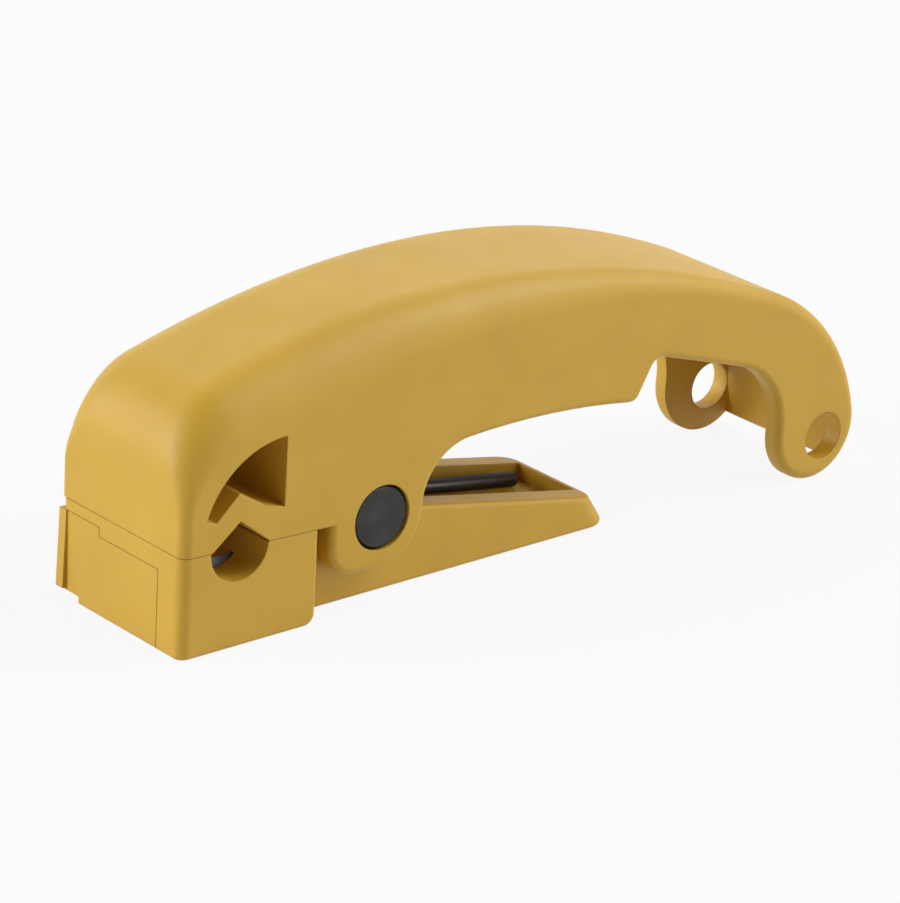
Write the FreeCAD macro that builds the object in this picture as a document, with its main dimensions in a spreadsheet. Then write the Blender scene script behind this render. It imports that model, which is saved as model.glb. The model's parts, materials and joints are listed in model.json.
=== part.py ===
"""Cable jacket stripper: a spring clip of two mouldings that grips a cable over a small blade.

Every outline is drawn in millimetres from the handle's front face (x) and the table (z). The bodies are then
moved along X together, so that the origin lies under the middle of the whole tool. +Y is the far side.
"""
import FreeCAD
import Part
import Sketcher

import enum
import math
import os

from FreeCAD import Vector

SIZES = {
    # Whole tool
    "overall_length": 106.4,
    "body_width": 23.0,
    "arch_height": 35.8,
    "parting_front": 12.5,
    "parting_rear": 11.75,
    "parting_gap": 0.06,
    # Pivot
    "pivot_reach": 28.6,
    "pivot_height": 11.1,
    "pin_diameter": 8.0,
    "pin_recess": 0.2,
    "pin_chamfer": 0.4,
    "pin_hold_gap": 0.02,
    "pin_running_gap": 0.06,
    # Handle's side outline
    "arch_reach": 43.0,
    "arch_end_height": 18.4,
    "shoulder_radius": 9.5,
    "end_radius": 24.6,
    "lobe_radius": 6.9,
    "notch_radius": 10.0,
    "notch_depth": 5.2,
    "notch_start": 68.0,
    "notch_drop": 1.3,
    "notch_lean": 2.8,
    "notch_slope": 16.6,
    "notch_corner": 1.8,
    "grip_reach": 49.8,
    "grip_height": 18.3,
    "grip_radius": 112.0,
    "grip_blend": 7.2,
    "grip_corner": 1.5,
    "cheek_left": 21.2,
    "cheek_radius": 6.4,
    "cheek_corner": 4.0,
    # Handle's walls
    "wall": 2.4,
    "skin": 2.4,
    "end_wall": 2.6,
    "inner_round": 2.0,
    # Rounding of the handle's outer edge, which swells over the nose and fades to the hook
    "edge_nose_foot": 1.4,
    "edge_far_foot": 0.9,
    "edge_nose_top": 3.0,
    "edge_nose_run": 4.2,
    "edge_shoulder": 5.8,
    "edge_hook": 1.6,
    "edge_grip": 0.9,
    # Cable guide and the window above it
    "cable_reach": 8.0,
    "cable_radius": 4.05,
    "roof_rise": 3.2,
    "rib_height": 3.4,
    "rib_shift": 0.3,
    "window_right": 14.2,
    "window_roof": 8.1,
    "window_end_run": 1.4,
    "window_end_rise": 0.45,
    "window_left_drop": 2.9,
    "window_left_run": 3.1,
    "window_right_drop": 2.4,
    "window_right_run": 4.0,
    "window_floor_drop": 0.6,
    # Cross hole of the forked hook end
    "hook_hole_diameter": 6.2,
    "hook_hole_inset": 5.9,
    "hook_hole_height": 5.7,
    # Lower jaw
    "jaw_length": 19.4,
    "jaw_corner_round": 1.4,
    "jaw_edge_round": 0.6,
    "jaw_heel_round": 1.5,
    "lever_side_gap": 0.9,
    "lever_lift": 0.1,
    "lever_tip": 68.0,
    "lever_end_lean": 2.8,
    "lever_end_height": 4.16,
    "lever_root_height": 9.94,
    "lever_edge_round": 0.6,
    "lever_corner_round": 2.2,
    "knuckle_radius": 6.1,
    "knuckle_blend": 1.5,
    "neck_top": 10.6,
    "tray_rim": 3.1,
    "tray_root_depth": 3.1,
    "tray_end_depth": 2.1,
    "tray_end_wall": 0.8,
    "coil_slot_gap": 0.5,
    "coil_slot_rear": 36.4,
    # Torsion spring
    "wire_diameter": 1.8,
    "coil_gap": 0.3,
    "coil_pitch": 1.9,
    "coil_turns": 2,
    "spring_seat_gap": 0.1,
    "leg_end": 61.6,
    "leg_rise": 12.0,
    "leg_bend": 3.0,
    "upper_leg_rise": 35.0,
    # Cutting blade
    "blade_thickness": 0.6,
    "blade_length": 9.5,
    "blade_height": 6.6,
    "blade_bevel": 1.0,
    "blade_edge_width": 0.06,
    "blade_bite": 1.1,
    "blade_inset": 5.0,
    "blade_gap": 0.05,
    # Blade cover in the jaw's front face
    "cover_thickness": 1.6,
    "cover_gap": 0.08,
    "cover_near_margin": 4.4,
    "cover_top": 9.9,
    "cover_shoulder": 7.5,
    "cover_shoulder_rise": 1.15,
    "rail_height": 5.6,
    "rail_narrow": 2.6,
    "rail_wide": 4.0,
    "rail_depth": 1.2,
    "rail_near_margin": 5.0,
    "lip_width": 1.35,
    "lip_proud": 0.5,
    "lip_top_proud": 0.15,
    "lip_foot": 1.4,
    "lip_top": 11.0,
    "thumb_relief_width": 3.8,
    "thumb_relief_height": 1.15,
    "thumb_relief_length": 6.0,
}

# How far a cutting outline runs past the solid that it cuts
OVERCUT = 2.0

# Two places closer than this are one place
CLOSE = 1e-4

# Most that a swept solid may differ from its section times its length
SWEEP_TOLERANCE = 0.01

SMOOTH = "smooth"


class Axis(enum.IntEnum):
    """A sketch's own axes, as its constraints number them. The origin is the start of the first."""
    X_AXIS = -1
    Y_AXIS = -2


class Place(enum.IntEnum):
    """The points of a line or an arc, as a sketch's constraints number them."""
    START = 1
    END = 2
    CENTRE = 3


class Turn(enum.IntEnum):
    LEFT = 1
    RIGHT = -1


X_AXIS, Y_AXIS = Axis
START, END, CENTRE = Place
LEFT, RIGHT = Turn


class Size:
    """A length that carries its value and the sheet expression that it comes from."""

    def __init__(self, text, value):
        self.text = text
        self.value = value

    def __add__(self, other):
        other = size_of(other)
        return Size(f"({self.text} + {other.text})", self.value + other.value)

    def __sub__(self, other):
        other = size_of(other)
        return Size(f"({self.text} - {other.text})", self.value - other.value)

    def __mul__(self, other):
        other = size_of(other)
        return Size(f"({self.text} * {other.text})", self.value * other.value)

    def __truediv__(self, other):
        other = size_of(other)
        return Size(f"({self.text} / {other.text})", self.value / other.value)

    def __radd__(self, other):
        return size_of(other) + self

    def __rsub__(self, other):
        return size_of(other) - self

    def __rmul__(self, other):
        return size_of(other) * self

    def __neg__(self):
        return Size(f"(0 - {self.text})", -self.value)


def size_of(number):
    return number if isinstance(number, Size) else Size(repr(float(number)), float(number))


def tangent(degrees):
    return Size(f"tan({degrees.text} * 1 deg)", math.tan(math.radians(degrees.value)))


def root(size):
    return Size(f"sqrt({size.text})", math.sqrt(size.value))


def bow_radius(run, rise):
    """Radius of the arc that climbs the given rise over the given run and is level at its top."""
    return (run * run / rise + rise) / 2


class Sheet:
    """The driving dimensions, read by name as sizes."""

    def __init__(self, doc, sizes):
        cells = doc.addObject("Spreadsheet::Sheet", "Sizes")
        for row, (alias, value) in enumerate(sizes.items(), 1):
            cells.set(f"A{row}", alias)
            cells.set(f"B{row}", str(value))
            cells.setAlias(f"B{row}", alias)
        doc.recompute()
        self.cells = cells

    def __getattr__(self, alias):
        return Size(f"Sizes.{alias}", float(self.cells.get(alias)))


class Side:
    """One side of an outline: a straight line, or part of a circle that turns left or right.

    bend is what joins this side to the next: None for a sharp corner, SMOOTH where a straight side runs into
    a circle that it touches, or the radius and turn of a rounding.
    """

    def __init__(self, ends=None, centre=None, radius=None, turn=None, bend=None):
        self.ends = ends
        self.centre = centre
        self.radius = radius
        self.turn = turn
        self.bend = bend

    def curve(self, inset=0.0, turn=LEFT):
        """Give the side as a plain curve, moved sideways by inset towards the given turn."""
        if self.ends is None:
            return plain(self.centre), None, abs(self.radius.value - inset * turn * self.turn)
        start, finish = plain(self.ends[0]), plain(self.ends[1])
        along = (finish - start).normalize()
        return start + Vector(-along.y, along.x, 0) * (inset * turn), along, None

    def touch(self, centre, radius, turn):
        """Find where a rounding of the given centre meets the side."""
        point, along, own = self.curve()
        if along is not None:
            return point + along * (centre - point).dot(along)
        if turn == self.turn and radius > own:
            return centre + (point - centre).normalize() * radius
        return point + (centre - point).normalize() * own


def line(start, finish, bend=None):
    return Side(ends=(start, finish), bend=bend)


def arc(centre, radius, turn, bend=None):
    return Side(centre=centre, radius=radius, turn=turn, bend=bend)


def polygon(*corners):
    """Make the sides of a closed outline from corners: a point, or a point and its rounding."""
    points = [corner[:2] for corner in corners]
    bends = [corner[2] if len(corner) > 2 else None for corner in corners]
    count = len(points)
    return [line(points[i], points[(i + 1) % count], bends[(i + 1) % count]) for i in range(count)]


def plain(point):
    return Vector(size_of(point[0]).value, size_of(point[1]).value, 0)


def crossings(first, second):
    """Find the points where two plain curves cross."""
    if first[1] is None and second[1] is not None:
        first, second = second, first
    (a, along, own), (b, other, radius) = first, second
    if along is not None and other is not None:
        gap = b - a
        return [a + along * ((gap.x * other.y - gap.y * other.x) / (along.x * other.y - along.y * other.x))]
    if along is not None:
        foot = a + along * (b - a).dot(along)
        half = math.sqrt(radius ** 2 - (foot - b).Length ** 2)
        return [foot - along * half, foot + along * half]
    span = b - a
    reach = (own ** 2 - radius ** 2 + span.Length ** 2) / (2 * span.Length)
    half = math.sqrt(own ** 2 - reach ** 2)
    unit = Vector(span).normalize()
    foot = a + unit * reach
    across = Vector(-unit.y, unit.x, 0) * half
    return [foot + across, foot - across]


def corner_between(side, following):
    """Find a sharp corner: a shared end, or the crossing nearest to where the straight side ends."""
    near = plain(side.ends[1]) if side.ends else plain(following.ends[0])
    if side.ends and following.ends:
        return None, near, near
    found = crossings(side.curve(), following.curve())
    point = min(found, key=lambda place: (place - near).Length)
    return None, point, point


def touch_between(side, following):
    """Find where a straight side touches the circle that follows it."""
    point = side.touch(plain(following.centre), following.radius.value, following.turn)
    return None, point, point


def bend_between(side, following):
    """Find a rounding between two sides: its centre and ends, with the shortest sweep of those possible."""
    radius, turn = side.bend[0].value, side.bend[1]
    found = []
    for centre in crossings(side.curve(radius, turn), following.curve(radius, turn)):
        begin = side.touch(centre, radius, turn)
        finish = following.touch(centre, radius, turn)
        angles = [math.atan2(point.y - centre.y, point.x - centre.x) for point in (begin, finish)]
        sweep = ((angles[1] - angles[0]) * turn) % (2 * math.pi)
        found.append((sweep, centre, begin, finish))
    return min(found, key=lambda bend: bend[0])[1:]


def bind(sketch, kind, *places, size):
    index = sketch.addConstraint(Sketcher.Constraint(kind, *places, size.value))
    sketch.setExpression(f"Constraints[{index}]", size.text)


def hold_point(sketch, geometry, place, point):
    """Hold a point of a sketch at sizes measured from the sketch's origin."""
    for kind, axis, size in (("DistanceX", Y_AXIS, point[0]), ("DistanceY", X_AXIS, point[1])):
        size = size_of(size)
        if size.value == 0:
            sketch.addConstraint(Sketcher.Constraint("PointOnObject", geometry, place, axis))
        elif size.value > 0:
            bind(sketch, kind, X_AXIS, START, geometry, place, size=size)
        else:
            bind(sketch, kind, geometry, place, X_AXIS, START, size=-size)


def sketch_arc(sketch, centre, radius, turn, begin, finish):
    """Draw an arc from begin to finish, and give its index and the places of those two ends."""
    angles = [math.atan2(point.y - centre.y, point.x - centre.x) for point in (begin, finish)]
    places = (START, END)
    if turn == RIGHT:
        angles.reverse()
        places = (END, START)
    circle = Part.Circle(centre, Vector(0, 0, 1), radius)
    return sketch.addGeometry(Part.ArcOfCircle(circle, *angles)), places


def draw(sketch, sides):
    """Draw a closed outline, with every point, centre and radius held by its size."""
    count = len(sides)
    joins = []
    for i, side in enumerate(sides):
        join = {None: corner_between, SMOOTH: touch_between}.get(side.bend, bend_between)
        joins.append(join(side, sides[(i + 1) % count]))

    drawn = []
    for i, side in enumerate(sides):
        begin, finish = joins[i - 1][2], joins[i][1]
        if side.ends is not None:
            drawn.append((sketch.addGeometry(Part.LineSegment(begin, finish)), (START, END)))
            continue
        index, places = sketch_arc(sketch, plain(side.centre), side.radius.value, side.turn, begin, finish)
        hold_point(sketch, index, CENTRE, side.centre)
        bind(sketch, "Radius", index, size=side.radius)
        drawn.append((index, places))

    for i, side in enumerate(sides):
        following = sides[(i + 1) % count]
        index, places = drawn[i]
        next_index, next_places = drawn[(i + 1) % count]
        centre, begin, finish = joins[i]
        shared = side.ends and following.ends and side.ends[1] is following.ends[0]
        if side.bend in (None, SMOOTH):
            kind = "Coincident" if side.bend is None else "Tangent"
            sketch.addConstraint(Sketcher.Constraint(kind, index, places[1], next_index, next_places[0]))
        else:
            radius, turn = side.bend
            bend, bend_places = sketch_arc(sketch, centre, radius.value, turn, begin, finish)
            sketch.addConstraint(
                Sketcher.Constraint("Tangent", index, places[1], bend, bend_places[0]))
            sketch.addConstraint(
                Sketcher.Constraint("Tangent", bend, bend_places[1], next_index, next_places[0]))
            bind(sketch, "Radius", bend, size=radius)
        if shared and side.bend is None:
            hold_point(sketch, index, places[1], side.ends[1])
        elif shared:
            guide_point(sketch, side.ends[1], (index, next_index))
        else:
            if side.ends and side.bend != SMOOTH:
                guide_point(sketch, side.ends[1], (index,))
            if following.ends:
                guide_point(sketch, following.ends[0], (next_index,))


def guide_point(sketch, point, owners):
    """Hold a corner that a rounding cuts off, and run the straight sides through it."""
    index = sketch.addGeometry(Part.Point(plain(point)), True)
    hold_point(sketch, index, START, point)
    for owner in owners:
        sketch.addConstraint(Sketcher.Constraint("PointOnObject", index, START, owner))


def new_body(doc, name, shift):
    body = doc.addObject("PartDesign::Body", name)
    body.setExpression("Placement.Base.x", shift.text)
    return body


def new_sketch(body, name, plane="XZ_Plane", offset=None):
    sketch = body.newObject("Sketcher::SketchObject", name)
    support = next(feature for feature in body.Origin.OriginFeatures if feature.Role == plane)
    sketch.AttachmentSupport = [(support, "")]
    sketch.MapMode = "FlatFace"
    if offset is not None:
        sketch.setExpression("AttachmentOffset.Base.z", offset.text)
    return sketch


def extrude(body, kind, name, sides, length, plane="XZ_Plane", offset=None, way="Symmetric"):
    """Pad or pocket an outline: both ways from its plane, along its normal, or against it."""
    sketch = new_sketch(body, name + "_outline", plane, offset)
    draw(sketch, sides)
    return extrude_sketch(body, kind, name, sketch, length, way)


def extrude_sketch(body, kind, name, sketch, length, way="Symmetric"):
    before = body.Shape.Volume if body.Tip else 0.0
    feature = body.newObject("PartDesign::" + kind, name)
    feature.Profile = sketch
    feature.setExpression("Length", length.text)
    feature.Refine = False
    if way == "Symmetric":
        feature.SideType = "Symmetric"
    else:
        feature.Reversed = (way == "Along") == (kind == "Pocket")
    body.Document.recompute()
    change = body.Shape.Volume - before
    if (change <= 0) if kind == "Pad" else (change >= 0):
        raise RuntimeError(f"{name} changed the volume by {change:.3f}")
    return feature


def bore(body, name, centre, diameter, length):
    sketch = new_sketch(body, name + "_circle")
    circle = Part.Circle(plain(centre), Vector(0, 0, 1), diameter.value / 2)
    index = sketch.addGeometry(circle)
    hold_point(sketch, index, CENTRE, centre)
    bind(sketch, "Diameter", index, size=diameter)
    return extrude_sketch(body, "Pocket", name, sketch, length)


def dress(body, kind, name, size, wanted):
    """Round or chamfer the edges of a body's last feature that a test picks."""
    base = body.Tip
    names = [f"Edge{i}" for i, edge in enumerate(base.Shape.Edges, 1) if wanted(edge)]
    feature = body.newObject("PartDesign::" + kind, name)
    feature.Base = (base, names)
    feature.setExpression("Radius" if kind == "Fillet" else "Size", size.text)
    body.Document.recompute()
    if "Invalid" in feature.State:
        raise RuntimeError(f"{name} can't be made on {names}")
    return feature


def lies_at(edge, side):
    """Tell whether an edge lies wholly at a given distance from the middle plane."""
    places = [edge.CenterOfMass] + [vertex.Point for vertex in edge.Vertexes]
    return all(abs(abs(place.y) - side) < CLOSE for place in places)


def parting_height(s, reach):
    return s.parting_front - (s.parting_front - s.parting_rear) * reach / s.cheek_left


def arch_radius(s):
    """Radius at which the arch would come down to its end height at the end of the tool."""
    return bow_radius(s.overall_length - s.arch_reach, s.arch_height - s.arch_end_height)


def arch_centre(s):
    return s.arch_reach, s.arch_height - arch_radius(s)


def arch_top(s, reach, inset=0):
    """Height of the arch, or of a line at an inset under it, at a given reach."""
    radius, run = arch_radius(s) - inset, s.arch_reach - reach
    return arch_centre(s)[1] + root(radius * radius - run * run)


def pivot(s):
    return s.pivot_reach, s.pivot_height


def lever_width(s):
    return s.body_width - 2 * (s.wall + s.lever_side_gap)


def coil_radius(s):
    return s.pin_diameter / 2 + s.coil_gap + s.wire_diameter / 2


def rim_height(s, reach):
    """Height of the lever's rim, which falls evenly from the knuckle to the tip."""
    rim_end = s.lever_tip - s.lever_end_lean
    rim_root = s.pivot_reach + s.knuckle_radius
    fall = (s.lever_root_height - s.lever_end_height) / (rim_end - rim_root)
    return s.lever_end_height + fall * (rim_end - reach)


def tray_floor(s):
    """The two ends of the tray's floor, which falls a little less steeply than the rim."""
    tray_end = s.lever_tip - s.lever_end_lean - s.tray_end_wall
    return (
        (s.coil_slot_rear, rim_height(s, s.coil_slot_rear) - s.tray_root_depth),
        (tray_end, rim_height(s, tray_end) - s.tray_end_depth),
    )


def nose_swell(s):
    """Height on the front at which the edge rounding starts to swell towards the shoulder."""
    return arch_top(s, s.shoulder_radius, s.shoulder_radius) - s.edge_nose_run


def handle_outline(s):
    """The handle seen from the near side, with its inside on the left of each side.

    The front is drawn in two stretches, because its edge rounding starts to swell between them.
    """
    cheek_bottom = s.pivot_height - s.cheek_radius
    front_foot = (0, s.parting_front)
    front_swell = (0, nose_swell(s))
    cheek_top = (s.cheek_left, s.parting_rear)
    cheek_heel = (s.cheek_left, cheek_bottom)
    notch_foot = (s.notch_start, s.grip_height - s.notch_drop)
    notch_top = (s.notch_start + s.notch_lean, notch_foot[1] + s.notch_depth)
    ceiling_run = s.lobe_radius
    ceiling_end = (notch_top[0] + ceiling_run, notch_top[1] - ceiling_run * tangent(s.notch_slope))
    lobe = (s.overall_length - s.lobe_radius, s.lobe_radius)
    return [
        line(front_foot, cheek_top),
        line(cheek_top, cheek_heel, bend=(s.cheek_corner, LEFT)),
        line(cheek_heel, (s.pivot_reach, cheek_bottom), bend=SMOOTH),
        arc(pivot(s), s.cheek_radius, LEFT, bend=(s.grip_blend, RIGHT)),
        arc((s.grip_reach, s.grip_height - s.grip_radius), s.grip_radius, RIGHT,
            bend=(s.grip_corner, LEFT)),
        line(notch_foot, notch_top, bend=(s.notch_corner, RIGHT)),
        line(notch_top, ceiling_end, bend=(s.notch_radius, RIGHT)),
        arc(lobe, s.lobe_radius, LEFT, bend=(s.end_radius, LEFT)),
        arc(arch_centre(s), arch_radius(s), LEFT, bend=(s.shoulder_radius, LEFT)),
        line((0, s.arch_height), front_swell),
        line(front_swell, front_foot),
    ]


def channel_outline(s):
    """The hollow under the arch, between the side walls."""
    inner_end = s.overall_length - s.end_wall
    ceiling = arch_radius(s) - s.skin
    front, rear = (s.jaw_length, -size_of(OVERCUT)), (inner_end, -size_of(OVERCUT))
    return [
        line(front, rear),
        line(rear, (inner_end, s.lobe_radius), bend=(s.end_radius - s.skin, LEFT)),
        arc(arch_centre(s), ceiling, LEFT, bend=(s.inner_round, LEFT)),
        line((s.jaw_length, s.arch_height - s.skin), front),
    ]


def window_outline(s):
    """The core above the cable guide. It leaves the guide as a roof-shaped rib and follows the arch."""
    peak_height = parting_height(s, s.cable_reach) + s.roof_rise + s.rib_height
    peak = (s.cable_reach - s.rib_shift, peak_height)
    left = (peak[0] - s.window_left_run, peak[1] - s.window_left_drop)
    right = (peak[0] + s.window_right_run, peak[1] - s.window_right_drop)
    corner = (s.window_right, right[1] - s.window_floor_drop)
    top = (s.window_right, arch_top(s, s.window_right) - s.window_roof)
    end = (left[0] - s.window_end_run, left[1] + s.window_end_rise)
    radius = bow_radius(top[0] - end[0], top[1] - end[1])
    return [
        line(end, left),
        line(left, peak),
        line(peak, right),
        line(right, corner),
        line(corner, top),
        arc((s.window_right, top[1] - radius), radius, LEFT),
    ]


def roof_outline(s):
    """The roof-shaped upper half of the cable hole."""
    peak = parting_height(s, s.cable_reach) + s.roof_rise
    foot = s.parting_rear - OVERCUT
    half = (peak - foot) * s.cable_radius / s.roof_rise
    return polygon((s.cable_reach - half, foot), (s.cable_reach + half, foot), (s.cable_reach, peak))


def edge_radius(s, point):
    """Rounding of the handle's outer edge at one end of a stretch of it, by where that end lies."""
    if point.x < CLOSE:
        if point.z > nose_swell(s).value + CLOSE:
            return s.edge_nose_top.value
        return s.edge_far_foot.value if point.y > 0 else s.edge_nose_foot.value
    on_arch = point.z > s.grip_height.value + s.notch_depth.value
    if on_arch and point.x < s.arch_reach.value:
        return s.edge_shoulder.value
    on_lobe = point.x > s.overall_length.value - 2 * s.lobe_radius.value - CLOSE
    return s.edge_hook.value if on_arch or on_lobe else s.edge_grip.value


def on_parting(s, place):
    """Tell whether a place of the handle's outline is on its parting face or in the cable's roof."""
    below = place.z < s.parting_front.value + s.roof_rise.value
    return below and CLOSE < place.x < s.cheek_left.value - CLOSE


def round_outer_edge(doc, s, body, shift):
    """Round the edge where the handle's side faces turn into its top, hook and grip."""
    side = s.body_width.value / 2
    inside = [face for face in body.Shape.Faces if face.BoundBox.YLength < CLOSE]
    outer = {edge.hashCode() for face in inside for edge in face.OuterWire.Edges}
    radii = []
    for index, edge in enumerate(body.Shape.Edges, 1):
        if edge.hashCode() not in outer or not lies_at(edge, side):
            continue
        if on_parting(s, edge.CenterOfMass - Vector(shift.value, 0, 0)):
            continue
        ends = [edge.valueAt(edge.FirstParameter), edge.valueAt(edge.LastParameter)]
        first, last = (edge_radius(s, end - Vector(shift.value, 0, 0)) for end in ends)
        radii.append((index, first, last))
    rounded = doc.addObject("Part::Fillet", "handle_body")
    rounded.Base = body
    rounded.Edges = radii
    doc.recompute()
    return rounded


def make_handle(doc, s, shift):
    body = new_body(doc, "handle_moulding", shift)
    extrude(body, "Pad", "handle_plate", handle_outline(s), s.body_width)
    extrude(body, "Pocket", "channel", channel_outline(s), s.body_width - 2 * s.wall)
    extrude(body, "Pocket", "window", window_outline(s), s.body_width)
    extrude(body, "Pocket", "cable_roof", roof_outline(s), s.body_width)
    bore(body, "pin_bore", pivot(s), s.pin_diameter + 2 * s.pin_hold_gap, s.body_width)
    hook_hole = (s.overall_length - s.hook_hole_inset, s.hook_hole_height)
    bore(body, "hook_hole", hook_hole, s.hook_hole_diameter, s.body_width)
    return round_outer_edge(doc, s, body, shift)


def block_outline(s):
    """The jaw block under the parting line."""
    rear_top = parting_height(s, s.jaw_length) - s.parting_gap
    return polygon(
        (0, 0),
        (s.jaw_length, 0, (s.jaw_heel_round, LEFT)),
        (s.jaw_length, rear_top),
        (0, s.parting_front - s.parting_gap),
    )


def lever_outline(s):
    """The neck behind the block, the knuckle on the pin and the tapered thumb lever."""
    root = s.jaw_length - s.jaw_heel_round * 2
    foot = (root, s.lever_lift)
    tip = (s.lever_tip, s.lever_lift)
    rim_end = (s.lever_tip - s.lever_end_lean, s.lever_end_height)
    rim_root = (s.pivot_reach + s.knuckle_radius, s.lever_root_height)
    neck = (root, s.neck_top)
    return [
        line(foot, tip),
        line(tip, rim_end),
        line(rim_end, rim_root, bend=(s.knuckle_blend, RIGHT)),
        arc(pivot(s), s.knuckle_radius, LEFT, bend=(s.knuckle_blend, RIGHT)),
        line((s.pivot_reach - s.knuckle_radius, s.neck_top), neck),
        line(neck, foot),
    ]


def coil_slot_outline(s):
    """The slot between the knuckles, which runs on as the floor of the lever's tray."""
    room = coil_radius(s) + s.wire_diameter / 2 + s.coil_slot_gap
    front, floor, top = s.pivot_reach - room, s.pivot_height - room, s.pivot_height + room
    tray_root, tray_end = tray_floor(s)
    return polygon(
        (front, floor),
        (s.coil_slot_rear, floor),
        tray_root,
        tray_end,
        (tray_end[0], top),
        (front, top),
    )


def cover_outline(s, gap, side, bottom):
    """The cover seen from the front, or with no gap the recess that it slides in."""
    near = s.cover_near_margin - s.body_width / 2 + gap
    step = s.body_width / 2 - s.cover_shoulder + gap
    low_top = s.cover_top - gap
    return polygon(
        (near, bottom),
        (side, bottom),
        (side, low_top + s.cover_shoulder_rise),
        (step, low_top + s.cover_shoulder_rise),
        (step, low_top),
        (near, low_top),
    )


def rail_outline(s, gap):
    """The dovetail rail behind the cover, or its groove, seen along the slide."""
    front, back = s.cover_thickness - s.cover_gap, s.cover_thickness + s.rail_depth + gap
    narrow, wide = s.rail_narrow / 2 + gap, s.rail_wide / 2 + gap
    return polygon(
        (front, s.rail_height - narrow),
        (back, s.rail_height - wide),
        (back, s.rail_height + wide),
        (front, s.rail_height + narrow),
    )


def blade_offset(s):
    return s.body_width / 2 - s.blade_inset


def blade_front(s):
    return s.cover_thickness + s.rail_depth + 2 * s.cover_gap


def blade_top(s):
    return parting_height(s, s.cable_reach) - s.cable_radius + s.blade_bite


def blade_slot_outline(s):
    top, foot = blade_top(s) + s.blade_gap, blade_top(s) - s.blade_height - s.blade_gap
    back = blade_front(s) + s.blade_length + s.blade_gap
    return polygon((0, foot), (back, foot), (back, top), (0, top))


def thumb_relief_outline(s, overcut):
    """The corner cut away under the cover's grip lip, seen from the front."""
    far = s.body_width / 2
    return polygon(
        (far - s.thumb_relief_width, -size_of(overcut)),
        (far + overcut, -size_of(overcut)),
        (far + overcut, s.thumb_relief_height),
        (far - s.thumb_relief_width, s.thumb_relief_height),
    )


def make_lower_jaw(doc, s, shift):
    body = new_body(doc, "lower_jaw", shift)
    half, lever_half = s.body_width.value / 2, lever_width(s).value / 2
    extrude(body, "Pad", "lever", lever_outline(s), lever_width(s))
    rim_end = s.lever_tip.value - s.lever_end_lean.value
    dress(body, "Fillet", "lever_corners", s.lever_corner_round,
          lambda edge: lies_at(edge, lever_half) and edge.CenterOfMass.x > rim_end)
    dress(body, "Fillet", "lever_edges", s.lever_edge_round,
          lambda edge: lies_at(edge, lever_half) and edge.CenterOfMass.x > s.coil_slot_rear.value)
    extrude(body, "Pad", "block", block_outline(s), s.body_width)
    dress(body, "Fillet", "block_corners", s.jaw_corner_round,
          lambda edge: lies_at(edge, half) and edge.CenterOfMass.x < CLOSE)
    dress(body, "Fillet", "block_edges", s.jaw_edge_round,
          lambda edge: lies_at(edge, half) and edge.CenterOfMass.z < CLOSE)
    extrude(body, "Pocket", "coil_slot", coil_slot_outline(s), lever_width(s) - 2 * s.tray_rim)
    bore(body, "pin_bore", pivot(s), s.pin_diameter + 2 * s.pin_running_gap, s.body_width)
    groove = (s.cable_reach, parting_height(s, s.cable_reach))
    bore(body, "cable_groove", groove, 2 * s.cable_radius, s.body_width)
    recess = cover_outline(s, size_of(0), s.body_width / 2 + OVERCUT, -size_of(OVERCUT))
    extrude(body, "Pocket", "cover_recess", recess, s.cover_thickness, plane="YZ_Plane", way="Along")
    rail_length = s.body_width - s.rail_near_margin
    extrude(body, "Pocket", "rail_groove", rail_outline(s, s.cover_gap), rail_length,
            offset=-(s.body_width / 2), way="Along")
    extrude(body, "Pocket", "blade_slot", blade_slot_outline(s), s.blade_thickness + 2 * s.blade_gap,
            offset=blade_offset(s))
    extrude(body, "Pocket", "thumb_relief", thumb_relief_outline(s, OVERCUT), s.thumb_relief_length,
            plane="YZ_Plane", way="Along")
    return body


def make_pin(doc, s, shift):
    body = new_body(doc, "pivot_pin", shift)
    sketch = new_sketch(body, "pin_circle")
    index = sketch.addGeometry(Part.Circle(plain(pivot(s)), Vector(0, 0, 1), s.pin_diameter.value / 2))
    hold_point(sketch, index, CENTRE, pivot(s))
    bind(sketch, "Diameter", index, size=s.pin_diameter)
    length = s.body_width - 2 * s.pin_recess
    extrude_sketch(body, "Pad", "pin", sketch, length)
    dress(body, "Chamfer", "pin_ends", s.pin_chamfer, lambda edge: lies_at(edge, length.value / 2))
    return body


def make_blade(doc, s, shift):
    """A ground strip that stands on edge across the groove."""
    body = new_body(doc, "cutting_blade", shift)
    top = blade_top(s)
    half, edge = s.blade_thickness / 2, s.blade_edge_width / 2
    middle = -blade_offset(s)
    section = polygon(
        (middle - half, top - s.blade_height),
        (middle + half, top - s.blade_height),
        (middle + half, top - s.blade_bevel),
        (middle + edge, top),
        (middle - edge, top),
        (middle - half, top - s.blade_bevel),
    )
    extrude(body, "Pad", "blade_strip", section, s.blade_length, plane="YZ_Plane",
            offset=blade_front(s), way="Along")
    return body


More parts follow.
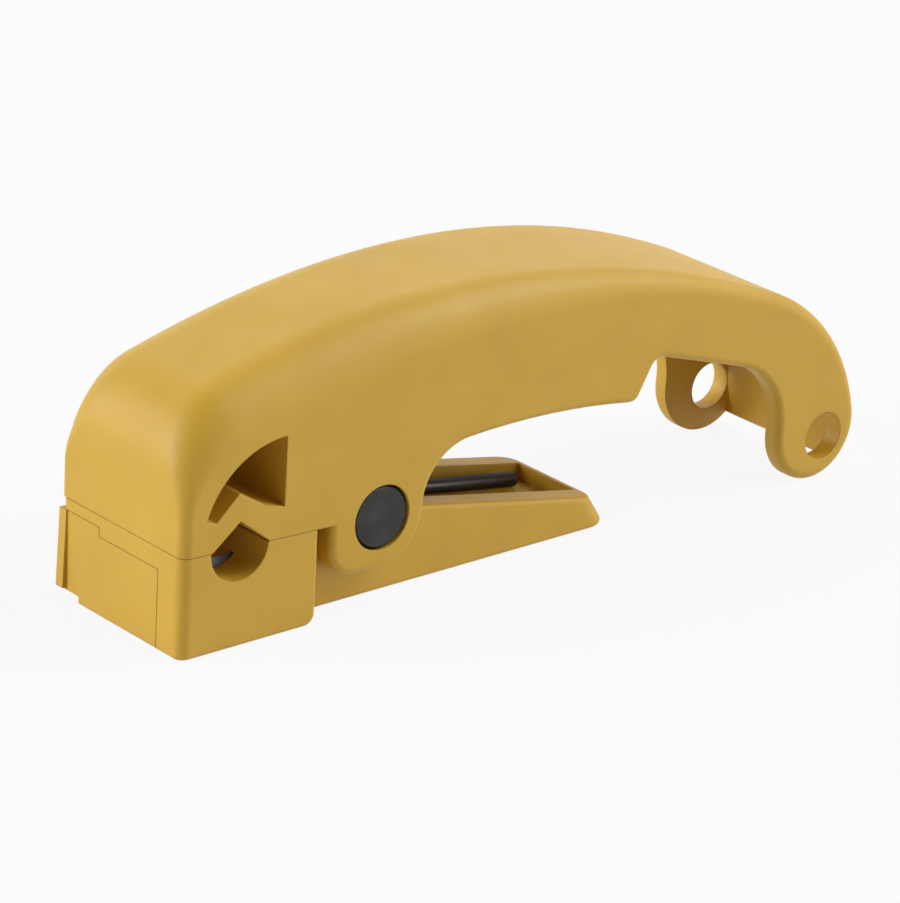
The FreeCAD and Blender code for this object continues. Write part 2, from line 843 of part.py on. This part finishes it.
def make_cover(doc, s, shift):
    body = new_body(doc, "blade_cover", shift)
    far = s.body_width / 2
    extrude(body, "Pad", "cover_plate", cover_outline(s, s.cover_gap, far, size_of(0)),
            s.cover_thickness - s.cover_gap, plane="YZ_Plane", way="Along")
    dress(body, "Fillet", "cover_foot", s.jaw_edge_round,
          lambda edge: max(abs(edge.CenterOfMass.x), abs(edge.CenterOfMass.z)) < CLOSE)
    rail_length = s.body_width - s.rail_near_margin - s.cover_gap
    extrude(body, "Pad", "rail", rail_outline(s, size_of(0)), rail_length, offset=-far, way="Along")
    lip = polygon(
        (-s.lip_proud, s.lip_foot),
        (s.cover_thickness / 2, s.lip_foot),
        (s.cover_thickness / 2, s.lip_top),
        (-s.lip_top_proud, s.lip_top),
    )
    extrude(body, "Pad", "grip_lip", lip, s.lip_width, offset=-far, way="Along")
    extrude(body, "Pocket", "thumb_relief", thumb_relief_outline(s, OVERCUT), s.thumb_relief_length,
            plane="YZ_Plane", way="Along")
    return body


def spring_path(s):
    """The wire's middle line: upper leg, coil round the pin, then lower leg bent into the tray."""
    radius, pitch = coil_radius(s).value, s.coil_pitch.value
    upper, lower = math.radians(90 + s.upper_leg_rise.value), math.radians(270 + s.leg_rise.value)
    sweep = lower - upper + 2 * math.pi * s.coil_turns.value
    height = pitch * sweep / (2 * math.pi)
    axis = Vector(s.pivot_reach.value, -height / 2, s.pivot_height.value)

    def on_coil(angle, along):
        return axis + Vector(radius * math.cos(angle), along, radius * math.sin(angle))

    def heading(angle):
        return Vector(-radius * math.sin(angle), pitch / (2 * math.pi), radius * math.cos(angle)).normalize()

    coil = Part.makeHelix(pitch, height, radius, 0, True)
    coil.rotate(Vector(0, 0, 0), Vector(1, 0, 0), -90)
    coil.rotate(Vector(0, 0, 0), Vector(0, 1, 0), -math.degrees(upper))
    coil.translate(axis)

    begin, back = on_coil(upper, 0), -heading(upper)
    reach = upper_leg_length(s, begin, back)
    bend_in, way_in = on_coil(lower, height), heading(lower)
    tray_root, tray_end = (plain(point) for point in tray_floor(s))
    slope = (tray_root.y - tray_end.y) / (tray_end.x - tray_root.x)
    way_out = Vector(1, 0, -slope).normalize()
    seat = s.wire_diameter.value / 2 * math.hypot(1, slope) + s.spring_seat_gap.value
    rest = tray_end.y + slope * (tray_end.x - s.leg_end.value) + seat
    rise = way_in.z + slope * way_in.x
    drop = rest + slope * (s.leg_end.value - bend_in.x) - bend_in.z
    corner = bend_in + way_in * (drop / rise)
    turn = way_in.getAngle(way_out)
    cut = s.leg_bend.value * math.tan(turn / 2)
    inward = (way_out - way_in).normalize()
    middle = corner + inward * (s.leg_bend.value * (1 / math.cos(turn / 2) - 1))
    arc_in, arc_out = corner - way_in * cut, corner + way_out * cut
    tip = corner + way_out * ((s.leg_end.value - corner.x) / way_out.x)
    return begin + back * reach, back, [
        Part.LineSegment(begin + back * reach, begin).toShape(),
        *coil.Edges,
        Part.LineSegment(bend_in, arc_in).toShape(),
        Part.Arc(arc_in, middle, arc_out).toShape(),
        Part.LineSegment(arc_out, tip).toShape(),
    ]


def upper_leg_length(s, begin, back):
    """Length at which the upper leg's square end comes up to the underside of the arch."""
    corner = begin + Vector(-back.z, 0, back.x).normalize() * (s.wire_diameter.value / 2)
    middle = plain(arch_centre(s))
    gap = Vector(corner.x - middle.x, 0, corner.z - middle.y)
    flat = Vector(back.x, 0, back.z)
    limit = arch_radius(s).value - s.skin.value - s.spring_seat_gap.value
    a, b, c = flat.dot(flat), gap.dot(flat), gap.dot(gap) - limit ** 2
    return (math.sqrt(b * b - a * c) - b) / a


def make_spring(doc, s, shift):
    """Round wire swept along the coil and its two legs."""
    start, back, edges = spring_path(s)
    profile = Part.Wire(Part.Circle(start, back, s.wire_diameter.value / 2).toShape())
    spring = doc.addObject("Part::Feature", "torsion_spring")
    spring.Shape = Part.Wire(edges).makePipeShell([profile], True, False)
    spring.Placement = FreeCAD.Placement(Vector(shift.value, 0, 0), FreeCAD.Rotation())
    length = sum(edge.Length for edge in edges)
    expected = length * math.pi * s.wire_diameter.value ** 2 / 4
    if abs(spring.Shape.Volume / expected - 1) > SWEEP_TOLERANCE:
        raise RuntimeError(f"the spring's volume is {spring.Shape.Volume:.1f}, not {expected:.1f}")
    return spring


def check(doc, pieces):
    for obj in doc.Objects:
        if "Invalid" in obj.State or "Error" in obj.State:
            raise RuntimeError(f"{obj.Name} failed: {obj.State}")
        if obj.TypeId == "Sketcher::SketchObject" and not obj.FullyConstrained:
            raise RuntimeError(f"{obj.Name} isn't fully held by its sizes")
    for piece in pieces:
        if piece.Shape.isNull() or not piece.Shape.isValid():
            raise RuntimeError(f"{piece.Label} has no valid shape")
        if len(piece.Shape.Solids) != 1:
            raise RuntimeError(f"{piece.Label} has {len(piece.Shape.Solids)} solids")


def main():
    doc = FreeCAD.newDocument("cable_stripper")
    s = Sheet(doc, SIZES)
    shift = (s.lip_proud - s.overall_length) / 2
    makers = (make_handle, make_lower_jaw, make_pin, make_spring, make_blade, make_cover)
    pieces = [make(doc, s, shift) for make in makers]
    doc.recompute()
    check(doc, pieces)
    os.makedirs("parts", exist_ok=True)
    for piece in pieces:
        piece.Shape.exportStep(f"parts/{piece.Label}.step")
        print(f"{piece.Label}: {piece.Shape.Volume:.1f} mm3")


main()
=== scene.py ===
"""Looks of the cable jacket stripper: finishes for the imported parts, a spring that winds, camera and light.

Everything is in metres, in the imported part's own frame.
"""

import json
import math

import bmesh
import bpy
from mathutils import Matrix, Vector


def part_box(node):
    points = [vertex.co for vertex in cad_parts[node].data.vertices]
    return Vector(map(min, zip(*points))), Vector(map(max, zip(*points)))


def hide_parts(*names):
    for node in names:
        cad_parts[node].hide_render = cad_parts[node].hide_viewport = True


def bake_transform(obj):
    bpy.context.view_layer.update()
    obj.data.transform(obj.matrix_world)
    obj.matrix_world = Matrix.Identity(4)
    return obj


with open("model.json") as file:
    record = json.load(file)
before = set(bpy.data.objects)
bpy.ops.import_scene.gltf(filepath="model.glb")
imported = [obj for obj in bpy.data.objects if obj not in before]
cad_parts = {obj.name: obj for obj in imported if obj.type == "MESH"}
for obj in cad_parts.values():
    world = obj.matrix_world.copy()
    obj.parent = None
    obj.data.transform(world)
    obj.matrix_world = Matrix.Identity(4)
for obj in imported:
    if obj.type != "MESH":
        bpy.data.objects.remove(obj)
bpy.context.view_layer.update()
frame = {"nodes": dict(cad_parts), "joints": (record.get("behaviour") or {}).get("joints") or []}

MM = 0.001

# The photograph's width and the camera fitted to it
IMAGE_WIDTH = 900
FOCAL_PIXELS = 4281.46
SENSOR_WIDTH_MM = 36.0
CAMERA_SIDE = math.radians(41.55)
CAMERA_RISE = math.radians(21.75)
CAMERA_ROLL = math.radians(3.27)
CAMERA_DISTANCE = 493.67 * MM
CAMERA_CLIP = 10 * MM
# Where the camera looks: a place on the near side, from the tool's front and the table
TARGET_REACH = 38.367 * MM
TARGET_HEIGHT = 17.15 * MM

# The torsion spring, as the part has it. The lower leg's tip is placed from the pin and the table.
WIRE_RADIUS = 0.9 * MM
COIL_RADIUS = 5.2 * MM
COIL_PITCH = 1.9 * MM
COIL_TURNS = 2
UPPER_LEG_ANGLE = math.radians(125)
LOWER_LEG_ANGLE = math.radians(282)
LEG_BEND = 3.0 * MM
LEG_REACH = 33.0 * MM
LEG_TIP_HEIGHT = 3.65 * MM
LEG_SLOPE = 0.1538
# How finely the wire is drawn, and how its cut ends are broken
WIRE_SIDES = 20
STEPS_PER_TURN = 64
BEND_STEPS = 8
END_CHAMFER = 0.18 * MM

# Light: the world, and soft lamps round the place where the camera looks
WORLD_LIGHT = 0.1
LAMPS = {
    "key": {"towards": (-0.85, 0.45, 0.3), "distance": 1.2, "size": 1.0, "power": 12.8},
    "side": {"towards": (0.6, -0.75, 0.25), "distance": 1.4, "size": 1.6, "power": 7.8},
    "top": {"towards": (0.6, -0.3, 0.72), "distance": 1.3, "size": 0.9, "power": 9.6},
    "rear": {"towards": (0.35, 0.75, 0.6), "distance": 1.3, "size": 1.6, "power": 3.8},
}

# The floor: a wide sheet just under the tool, and how opaque it is to the camera
FLOOR_HALF = 6.0
FLOOR_GAP = 0.02 * MM
FLOOR_TONE = 0.75
FLOOR_ROUGHNESS = 0.9
FLOOR_OPACITY = 0.1

# Softening of the sharp moulded edges, for the light on them only
EDGE_SOFTENING = 0.25 * MM
# The distance between the wave texture's rings at a scale of one
WAVE_SPACING = 0.31


def add_object(name, data):
    """A new object in the scene that shows the given data."""
    thing = bpy.data.objects.new(name, data)
    bpy.context.scene.collection.objects.link(thing)
    return thing


def add_mesh(name, shape):
    """A new mesh object from an edit mesh, which is used up."""
    data = bpy.data.meshes.new(name)
    shape.to_mesh(data)
    shape.free()
    return add_object(name, data)


def node_tree(name):
    """A new material, its tree and its main shader."""
    material = bpy.data.materials.new(name)
    material.use_nodes = True
    return material, material.node_tree, material.node_tree.nodes["Principled BSDF"]


def add_node(tree, kind, **inputs):
    """A new node with values on its sockets, which are named with underscores for spaces."""
    node = tree.nodes.new(kind)
    for name, value in inputs.items():
        node.inputs[name.replace("_", " ")].default_value = value
    return node


def place_on(tree, stretch=(1, 1, 1), origin=(0, 0, 0)):
    """Coordinates on the tool in metres from an origin, stretched along each axis."""
    place = tree.nodes.new("ShaderNodeTexCoord")
    scale = Vector((1 / way for way in stretch))
    mapping = add_node(tree, "ShaderNodeMapping", Scale=scale, Location=-Vector(origin) * scale)
    tree.links.new(place.outputs["Object"], mapping.inputs["Vector"])
    return mapping.outputs["Vector"]


def noise(tree, size, detail=2.0, stretch=(1, 1, 1)):
    """Noise with features of about the given size in metres, longer where it is stretched."""
    texture = add_node(tree, "ShaderNodeTexNoise", Scale=1 / size, Detail=detail)
    tree.links.new(place_on(tree, stretch), texture.inputs["Vector"])
    return texture.outputs["Fac"]


def rings(tree, pitch, centre):
    """Turning marks: rings round an axis along Y."""
    texture = add_node(tree, "ShaderNodeTexWave", Scale=WAVE_SPACING / pitch, Distortion=0.6, Detail=2.0)
    texture.wave_type = "RINGS"
    texture.rings_direction = "Y"
    tree.links.new(place_on(tree, origin=centre), texture.inputs["Vector"])
    return texture.outputs["Fac"]


def ramp(tree, source, low, high, start=0.3, end=0.7):
    """Map a value onto a range of greys or colours."""
    node = tree.nodes.new("ShaderNodeValToRGB")
    stops = node.color_ramp.elements
    for stop, place, value in ((stops[0], start, low), (stops[1], end, high)):
        stop.position = place
        stop.color = (*value, 1) if isinstance(value, tuple) else (value, value, value, 1)
    tree.links.new(source, node.inputs["Fac"])
    return node.outputs["Color"]


def bump(tree, source, height, strength, under=None):
    """Relief of the given height, on top of the relief under it."""
    node = add_node(tree, "ShaderNodeBump", Strength=strength, Distance=height)
    tree.links.new(source, node.inputs["Height"])
    if under is not None:
        tree.links.new(under, node.inputs["Normal"])
    return node.outputs["Normal"]


def soft_edges(tree, radius):
    """Light on sharp edges as if they had a small rounding."""
    node = add_node(tree, "ShaderNodeBevel", Radius=radius)
    return node.outputs["Normal"]


def moulded_plastic(name, light, dark):
    """Satin moulded plastic: a fine eroded grain, slow changes of colour and gloss, and faint scuffs."""
    material, tree, shader = node_tree(name)
    tone = ramp(tree, noise(tree, size=9 * MM), dark, light)
    tree.links.new(tone, shader.inputs["Base Color"])
    gloss = ramp(tree, noise(tree, size=4 * MM, detail=5.0), low=0.46, high=0.54)
    tree.links.new(gloss, shader.inputs["Roughness"])
    streaks = noise(tree, size=1.1 * MM, detail=3.0, stretch=(7, 1, 1))
    scuffs = ramp(tree, streaks, low=1.0, high=0.0, start=0.24, end=0.34)
    grain = noise(tree, size=0.3 * MM, detail=4.0)
    relief = soft_edges(tree, EDGE_SOFTENING)
    relief = bump(tree, grain, height=0.02 * MM, strength=0.35, under=relief)
    relief = bump(tree, scuffs, height=-0.01 * MM, strength=0.3, under=relief)
    tree.links.new(relief, shader.inputs["Normal"])
    return material


def metal(name, light, dark, roughness, edge=1.0):
    """Steel of uneven tone and gloss. Edge sets how bright it is at grazing angles. Relief comes later."""
    material, tree, shader = node_tree(name)
    tone = ramp(tree, noise(tree, size=4 * MM, detail=4.0), dark, light)
    tree.links.new(tone, shader.inputs["Base Color"])
    patches = noise(tree, size=1.2 * MM, detail=4.0)
    gloss = ramp(tree, patches, low=roughness - 0.06, high=roughness + 0.08)
    tree.links.new(gloss, shader.inputs["Roughness"])
    shader.inputs["Metallic"].default_value = 1.0
    shader.inputs["Specular Tint"].default_value = (edge, edge, edge, 1)
    return material, tree, shader


def turned_steel(name):
    """Dark oxidised steel with the rings of its turning on the ends."""
    light, dark = (0.056, 0.055, 0.053), (0.038, 0.037, 0.036)
    material, tree, shader = metal(name, light, dark, roughness=0.46, edge=0.4)
    grain = noise(tree, size=0.25 * MM, detail=3.0)
    relief = bump(tree, grain, height=0.01 * MM, strength=0.35)
    marks = rings(tree, pitch=0.22 * MM, centre=pivot_point())
    relief = bump(tree, marks, height=0.008 * MM, strength=0.3, under=relief)
    tree.links.new(relief, shader.inputs["Normal"])
    return material


def drawn_steel(name):
    """Spring wire, dark from its heat treatment, with faint streaks of its drawing."""
    light, dark = (0.105, 0.105, 0.112), (0.085, 0.085, 0.09)
    material, tree, shader = metal(name, light, dark, roughness=0.38, edge=0.4)
    streaks = noise(tree, size=0.15 * MM, detail=3.0, stretch=(8, 1, 1))
    relief = bump(tree, streaks, height=0.006 * MM, strength=0.15)
    tree.links.new(relief, shader.inputs["Normal"])
    return material


def ground_steel(name):
    """A blade's blue-grey steel, with the lines of its grinding along it."""
    light, dark = (0.15, 0.16, 0.18), (0.1, 0.11, 0.125)
    material, tree, shader = metal(name, light, dark, roughness=0.36)
    lines = noise(tree, size=0.08 * MM, detail=3.0, stretch=(12, 1, 1))
    relief = bump(tree, lines, height=0.004 * MM, strength=0.4)
    tree.links.new(relief, shader.inputs["Normal"])
    return material


def dress(node, material):
    """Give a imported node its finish."""
    mesh = frame["nodes"][node].data
    mesh.materials.clear()
    mesh.materials.append(material)


def pivot_point():
    """The middle of the pin, which the jaw turns on."""
    hinge = next(joint for joint in frame["joints"] if joint["name"] == "jaw_hinge")
    return Vector(hinge["pos_m"])


def coil_sweep():
    """How far the wire winds round the pin from one leg to the other, in radians."""
    return LOWER_LEG_ANGLE - UPPER_LEG_ANGLE + 2 * math.pi * COIL_TURNS


def coil_half():
    """From the coil's middle to its far end, along the pin."""
    return Vector((0, COIL_PITCH * coil_sweep() / (4 * math.pi), 0))


def spring_line():
    """The wire's middle line: down the upper leg, round the pin, and along the lower leg in the tray."""
    sweep = coil_sweep()
    rise = COIL_PITCH / (2 * math.pi)
    start = pivot_point() - coil_half()

    def on_coil(turned):
        angle = UPPER_LEG_ANGLE + turned
        return start + Vector((COIL_RADIUS * math.cos(angle), rise * turned, COIL_RADIUS * math.sin(angle)))

    def heading(turned):
        angle = UPPER_LEG_ANGLE + turned
        return Vector((-COIL_RADIUS * math.sin(angle), rise, COIL_RADIUS * math.cos(angle))).normalized()

    # The upper leg runs straight on from the coil to the top of the solid spring's box
    first, back = on_coil(0), -heading(0)
    tip_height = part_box("torsion_spring")[1][2] - WIRE_RADIUS * math.sin(UPPER_LEG_ANGLE)
    points = [first + back * ((tip_height - first.z) / back.z)]
    count = round(STEPS_PER_TURN * sweep / (2 * math.pi))
    points += [on_coil(sweep * i / count) for i in range(count + 1)]

    # The coil's end runs straight on until it meets the line of the lower leg
    last, way_in = on_coil(sweep), heading(sweep)
    way_out = Vector((1, 0, -LEG_SLOPE)).normalized()
    leg_end = pivot_point().x + LEG_REACH
    drop = LEG_TIP_HEIGHT + LEG_SLOPE * (leg_end - last.x) - last.z
    corner = last + way_in * (drop / (way_in.z + LEG_SLOPE * way_in.x))
    points += rounded_corner(corner, way_in, way_out, LEG_BEND, BEND_STEPS)
    points.append(corner + way_out * ((leg_end - corner.x) / way_out.x))
    return points


def rounded_corner(corner, way_in, way_out, radius, steps):
    """Points on the arc that rounds a corner between two straight runs."""
    turn = way_in.angle(way_out)
    cut = radius * math.tan(turn / 2)
    inward = (way_out - way_in).normalized()
    centre = corner + inward * (radius / math.cos(turn / 2))
    arm = corner - way_in * cut - centre
    axis = way_in.cross(way_out).normalized()
    return [centre + Matrix.Rotation(turn * i / steps, 3, axis) @ arm for i in range(steps + 1)]


def tube(name, points, radius, chamfer, sides):
    """A round wire along a line of points, with its two ends slightly broken."""
    count = len(points)
    ways = [(points[min(i + 1, count - 1)] - points[max(i - 1, 0)]).normalized() for i in range(count)]
    stations = [(points[0], ways[0], radius - chamfer)]
    stations.append((points[0] + ways[0] * chamfer, ways[0], radius))
    stations += [(point, way, radius) for point, way in zip(points[1:-1], ways[1:-1])]
    stations.append((points[-1] - ways[-1] * chamfer, ways[-1], radius))
    stations.append((points[-1], ways[-1], radius - chamfer))

    shape = bmesh.new()
    turns = [2 * math.pi * k / sides for k in range(sides)]
    across = ways[0].orthogonal().normalized()
    loops = []
    for point, way, size in stations:
        across = (across - way * across.dot(way)).normalized()
        up = way.cross(across)
        spots = [point + (across * math.cos(turn) + up * math.sin(turn)) * size for turn in turns]
        loops.append([shape.verts.new(spot) for spot in spots])
    for loop, following in zip(loops, loops[1:]):
        for k in range(sides):
            after = (k + 1) % sides
            shape.faces.new((loop[k], loop[after], following[after], following[k])).smooth = True
    shape.faces.new(list(reversed(loops[0])))
    shape.faces.new(loops[-1])
    return add_mesh(name, shape)


def make_spring(material):
    """The spring as one still wire round the pin, its upper leg in the handle and its lower leg in the tray.
    """
    spring = tube("spring_wire", spring_line(), WIRE_RADIUS, END_CHAMFER, WIRE_SIDES)
    spring.data.materials.append(material)
    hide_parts("torsion_spring")
    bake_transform(spring)


def camera_target():
    """The place that the camera looks at and the lamps shine at."""
    low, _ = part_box("handle_body")
    return Vector((low[0] + TARGET_REACH, low[1], TARGET_HEIGHT))


def make_camera():
    """The photograph's camera: its side, rise and roll round the target, and its focal length."""
    back = Vector((
        -math.sin(CAMERA_SIDE) * math.cos(CAMERA_RISE),
        -math.cos(CAMERA_SIDE) * math.cos(CAMERA_RISE),
        math.sin(CAMERA_RISE),
    ))
    level = Vector((math.cos(CAMERA_SIDE), -math.sin(CAMERA_SIDE), 0))
    upright = back.cross(level)
    right = level * math.cos(CAMERA_ROLL) + upright * math.sin(CAMERA_ROLL)
    up = upright * math.cos(CAMERA_ROLL) - level * math.sin(CAMERA_ROLL)
    data = bpy.data.cameras.new("camera")
    data.sensor_fit = "HORIZONTAL"
    data.sensor_width = SENSOR_WIDTH_MM
    data.lens = FOCAL_PIXELS / IMAGE_WIDTH * SENSOR_WIDTH_MM
    data.clip_start = CAMERA_CLIP
    place = Matrix((right, up, back)).transposed().to_4x4()
    place.translation = camera_target() + back * CAMERA_DISTANCE
    camera = add_object("camera", data)
    camera.matrix_world = place
    bpy.context.scene.camera = camera


def make_lamp(name, towards, distance, size, power):
    """A large soft lamp that shines at the tool from a given direction."""
    data = bpy.data.lights.new(name, "AREA")
    data.shape = "DISK"
    data.size = size
    data.energy = power
    way = Vector(towards).normalized()
    lamp = add_object(name, data)
    lamp.location = camera_target() + way * distance
    lamp.rotation_euler = way.to_track_quat("Z", "Y").to_euler()


def largest(tree, *values):
    """The largest of several values."""
    total = values[0]
    for value in values[1:]:
        node = tree.nodes.new("ShaderNodeMath")
        node.operation = "MAXIMUM"
        tree.links.new(total, node.inputs[0])
        tree.links.new(value, node.inputs[1])
        total = node.outputs[0]
    return total


def seen_rays(tree, path):
    """One for what the camera sees directly, in a mirror or through glass, and zero for light."""
    return largest(tree, *(path.outputs[f"Is {kind} Ray"] for kind in ("Camera", "Glossy", "Transmission")))


def make_world():
    """A white background that gives only a little light of its own."""
    world = bpy.data.worlds.new("studio")
    world.use_nodes = True
    tree = world.node_tree
    background = tree.nodes["Background"]
    background.inputs["Color"].default_value = (1, 1, 1, 1)
    strength = add_node(tree, "ShaderNodeMapRange", To_Min=WORLD_LIGHT, To_Max=1.0)
    path = tree.nodes.new("ShaderNodeLightPath")
    tree.links.new(seen_rays(tree, path), strength.inputs["Value"])
    tree.links.new(strength.outputs["Result"], background.inputs["Strength"])
    bpy.context.scene.world = world


def floor_white(name):
    """Matt white that the camera sees faintly, with the tool's shadow, and that lamps shine through."""
    material, tree, shader = node_tree(name)
    shader.inputs["Base Color"].default_value = (FLOOR_TONE, FLOOR_TONE, FLOOR_TONE, 1)
    shader.inputs["Roughness"].default_value = FLOOR_ROUGHNESS
    shader.inputs["Specular IOR Level"].default_value = 0.0
    clear = tree.nodes.new("ShaderNodeBsdfTransparent")
    mix = tree.nodes.new("ShaderNodeMixShader")
    share = tree.nodes.new("ShaderNodeMath")
    share.operation = "MULTIPLY"
    share.inputs[1].default_value = 1 - FLOOR_OPACITY
    path = tree.nodes.new("ShaderNodeLightPath")
    tree.links.new(seen_rays(tree, path), share.inputs[0])
    passing = largest(tree, share.outputs[0], path.outputs["Is Shadow Ray"])
    tree.links.new(passing, mix.inputs["Fac"])
    tree.links.new(shader.outputs["BSDF"], mix.inputs[1])
    tree.links.new(clear.outputs["BSDF"], mix.inputs[2])
    tree.links.new(mix.outputs["Shader"], tree.nodes["Material Output"].inputs["Surface"])
    return material


def make_floor():
    """A pale sheet that keeps a faint shadow. An open jaw, which dips below the table, shows through it."""
    shape = bmesh.new()
    bmesh.ops.create_grid(shape, x_segments=1, y_segments=1, size=FLOOR_HALF)
    floor = add_mesh("floor", shape)
    floor.location.z = -FLOOR_GAP
    floor.data.materials.append(floor_white("floor_white"))


yellow = moulded_plastic("yellow_plastic", light=(0.64, 0.385, 0.032), dark=(0.6, 0.355, 0.026))
for moulding in ("handle_body", "lower_jaw", "blade_cover"):
    dress(moulding, yellow)
dress("pivot_pin", turned_steel("dark_steel"))
dress("cutting_blade", ground_steel("blade_steel"))
make_spring(drawn_steel("spring_steel"))

make_camera()
make_world()
for lamp_name, lamp in LAMPS.items():
    make_lamp(lamp_name, **lamp)
make_floor()
bpy.context.scene.view_settings.view_transform = "Standard"
